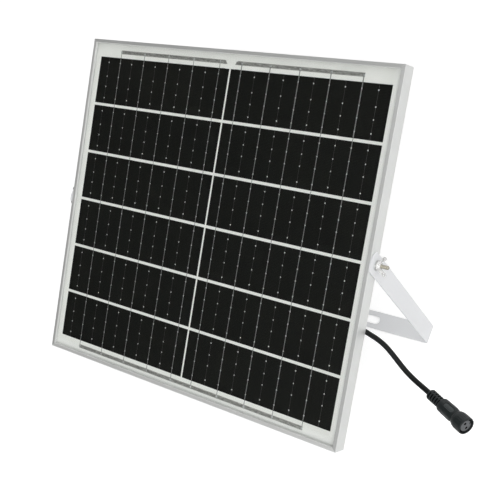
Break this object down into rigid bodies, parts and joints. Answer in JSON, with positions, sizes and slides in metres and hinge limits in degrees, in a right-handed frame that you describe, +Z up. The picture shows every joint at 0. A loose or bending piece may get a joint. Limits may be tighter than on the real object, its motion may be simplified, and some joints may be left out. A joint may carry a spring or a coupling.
{
  "type": "solar flood light panel",
  "caption": "Framed solar panel of a solar flood light, tilting on a U bracket with wing nuts, with a short lead and waterproof two-pole connector.",
  "frame": {"origin": "centre of the bracket's mounting face, on the face of the crossbar", "axes": "+X along the pivot axis, to the right seen from the panel's front; the panel faces -Y and up; +Z up from the mounting face along the bracket arms"},
  "size_m": [0.519, 0.3306, 0.2681],
  "materials": {
    "bracket_coat": "white powder coat, satin",
    "frame_alu": "clear anodised, satin",
    "key_alu": "mill finish",
    "sealant": "white silicone, matt",
    "glass": "clear toughened low-iron glass",
    "clear_film": "clear soft encapsulant film",
    "white_film": "white encapsulant film",
    "cell_silicon": "dark anti-reflection coated silicon",
    "tinned_copper": "tinned copper ribbon, dull",
    "backsheet_white": "white laminate",
    "box_black": "fine-grained black moulding",
    "steel_zinc": "bright zinc plate",
    "brass_tin": "plain brass",
    "bolt_metal": "pale yellow passivated steel",
    "nut_nickel": "bright nickel plate",
    "lead_black": "black jacket, satin",
    "core_red": "red insulation",
    "core_black": "black insulation",
    "core_pair": "red and black insulation",
    "plug_black": "black nylon, satin",
    "boot_rubber": "black rubber",
    "insert_grey": "dark grey moulding",
    "seal_red": "red-brown silicone"
  },
  "bodies": {
    "bracket": {"u_bracket": "bracket_coat"},
    "panel": {"frame_rail_top": "frame_alu", "frame_rail_bottom": "frame_alu", "frame_rail_left": "frame_alu", "frame_rail_right": "frame_alu", "corner_keys": "key_alu", "edge_sealant": "sealant", "glass_cover": "glass", "front_encapsulant": "clear_film", "solar_cells": "cell_silicon", "cell_ribbons": "tinned_copper", "bus_ribbons": "tinned_copper", "output_tabs": "tinned_copper", "rear_encapsulant": "white_film", "backsheet": "backsheet_white", "junction_box_adhesive": "sealant", "junction_box_base": "box_black", "junction_box_lid": "box_black", "junction_box_screws": "steel_zinc", "terminal_plates": "brass_tin", "blocking_diode": "box_black", "cable_gland": "box_black", "lead_jacket": "lead_black", "lead_core_red": "core_red", "lead_core_black": "core_black", "pivot_bolts": "bolt_metal", "spacer_washers": "steel_zinc"},
    "washer_left": {"clamp_washer_left": "steel_zinc"},
    "washer_right": {"clamp_washer_right": "steel_zinc"},
    "nut_left": {"wing_nut_left": "nut_nickel"},
    "nut_right": {"wing_nut_right": "nut_nickel"},
    "lead_middle": {"lead_jacket_middle": "lead_black", "lead_cores_middle": "core_pair"},
    "lead_end": {"lead_jacket_end": "lead_black", "lead_cores_end": "core_pair"},
    "plug": {"plug_cable_end": "lead_black", "plug_cores": "core_pair", "strain_relief_boot": "boot_rubber", "connector_body": "plug_black", "connector_insert": "insert_grey", "socket_contacts": "brass_tin", "connector_seal": "seal_red"},
    "coupling": {"coupling_nut": "plug_black"}
  },
  "joints": [
    {"name": "panel_tilt", "type": "hinge", "parent": "bracket", "child": "panel", "pos_m": [0, 0, 0.1785], "axis": [1, 0, 0], "range_deg": [-90, 43]},
    {"name": "washer_travel_right", "type": "slide", "parent": "panel", "child": "washer_right", "axis": [1, 0, 0], "range_m": [0, 0.0014]},
    {"name": "wing_nut_spin_right", "type": "hinge", "parent": "washer_right", "child": "nut_right", "pos_m": [0.2, 0, 0.1785], "axis": [1, 0, 0], "range_deg": [0, 720]},
    {"name": "washer_travel_left", "type": "slide", "parent": "panel", "child": "washer_left", "axis": [-1, 0, 0], "range_m": [0, 0.0014]},
    {"name": "wing_nut_spin_left", "type": "hinge", "parent": "washer_left", "child": "nut_left", "pos_m": [-0.2, 0, 0.1785], "axis": [-1, 0, 0], "range_deg": [0, 720]},
    {"name": "lead_swing", "type": "hinge", "parent": "panel", "child": "lead_middle", "pos_m": [0.2013, -0.05569, 0.14106], "axis": [0, -0.4415, 0.8973], "range_deg": [-20, 20], "stiffness_Nm_per_rad": 0.05},
    {"name": "lead_lift", "type": "hinge", "parent": "lead_middle", "child": "lead_end", "pos_m": [0.236, -0.0747, 0.1267], "axis": [0.4989, 0.7776, 0.3826], "range_deg": [-20, 20], "stiffness_Nm_per_rad": 0.05},
    {"name": "plug_swing", "type": "hinge", "parent": "lead_end", "child": "plug", "pos_m": [0.2628, -0.08662, 0.12373], "axis": [-0.3603, -0.3118, 0.8792], "range_deg": [-20, 20], "stiffness_Nm_per_rad": 0.04},
    {"name": "coupling_spin", "type": "hinge", "parent": "plug", "child": "coupling", "pos_m": [0.30361, -0.10528, 0.13384], "axis": [0.8872, -0.4057, 0.2197], "continuous": true}
  ],
  "couplings": [
    {"joint": "wing_nut_spin_right", "follows": "washer_travel_right", "rad_per_m": 8976},
    {"joint": "wing_nut_spin_left", "follows": "washer_travel_left", "rad_per_m": 8976}
  ]
}
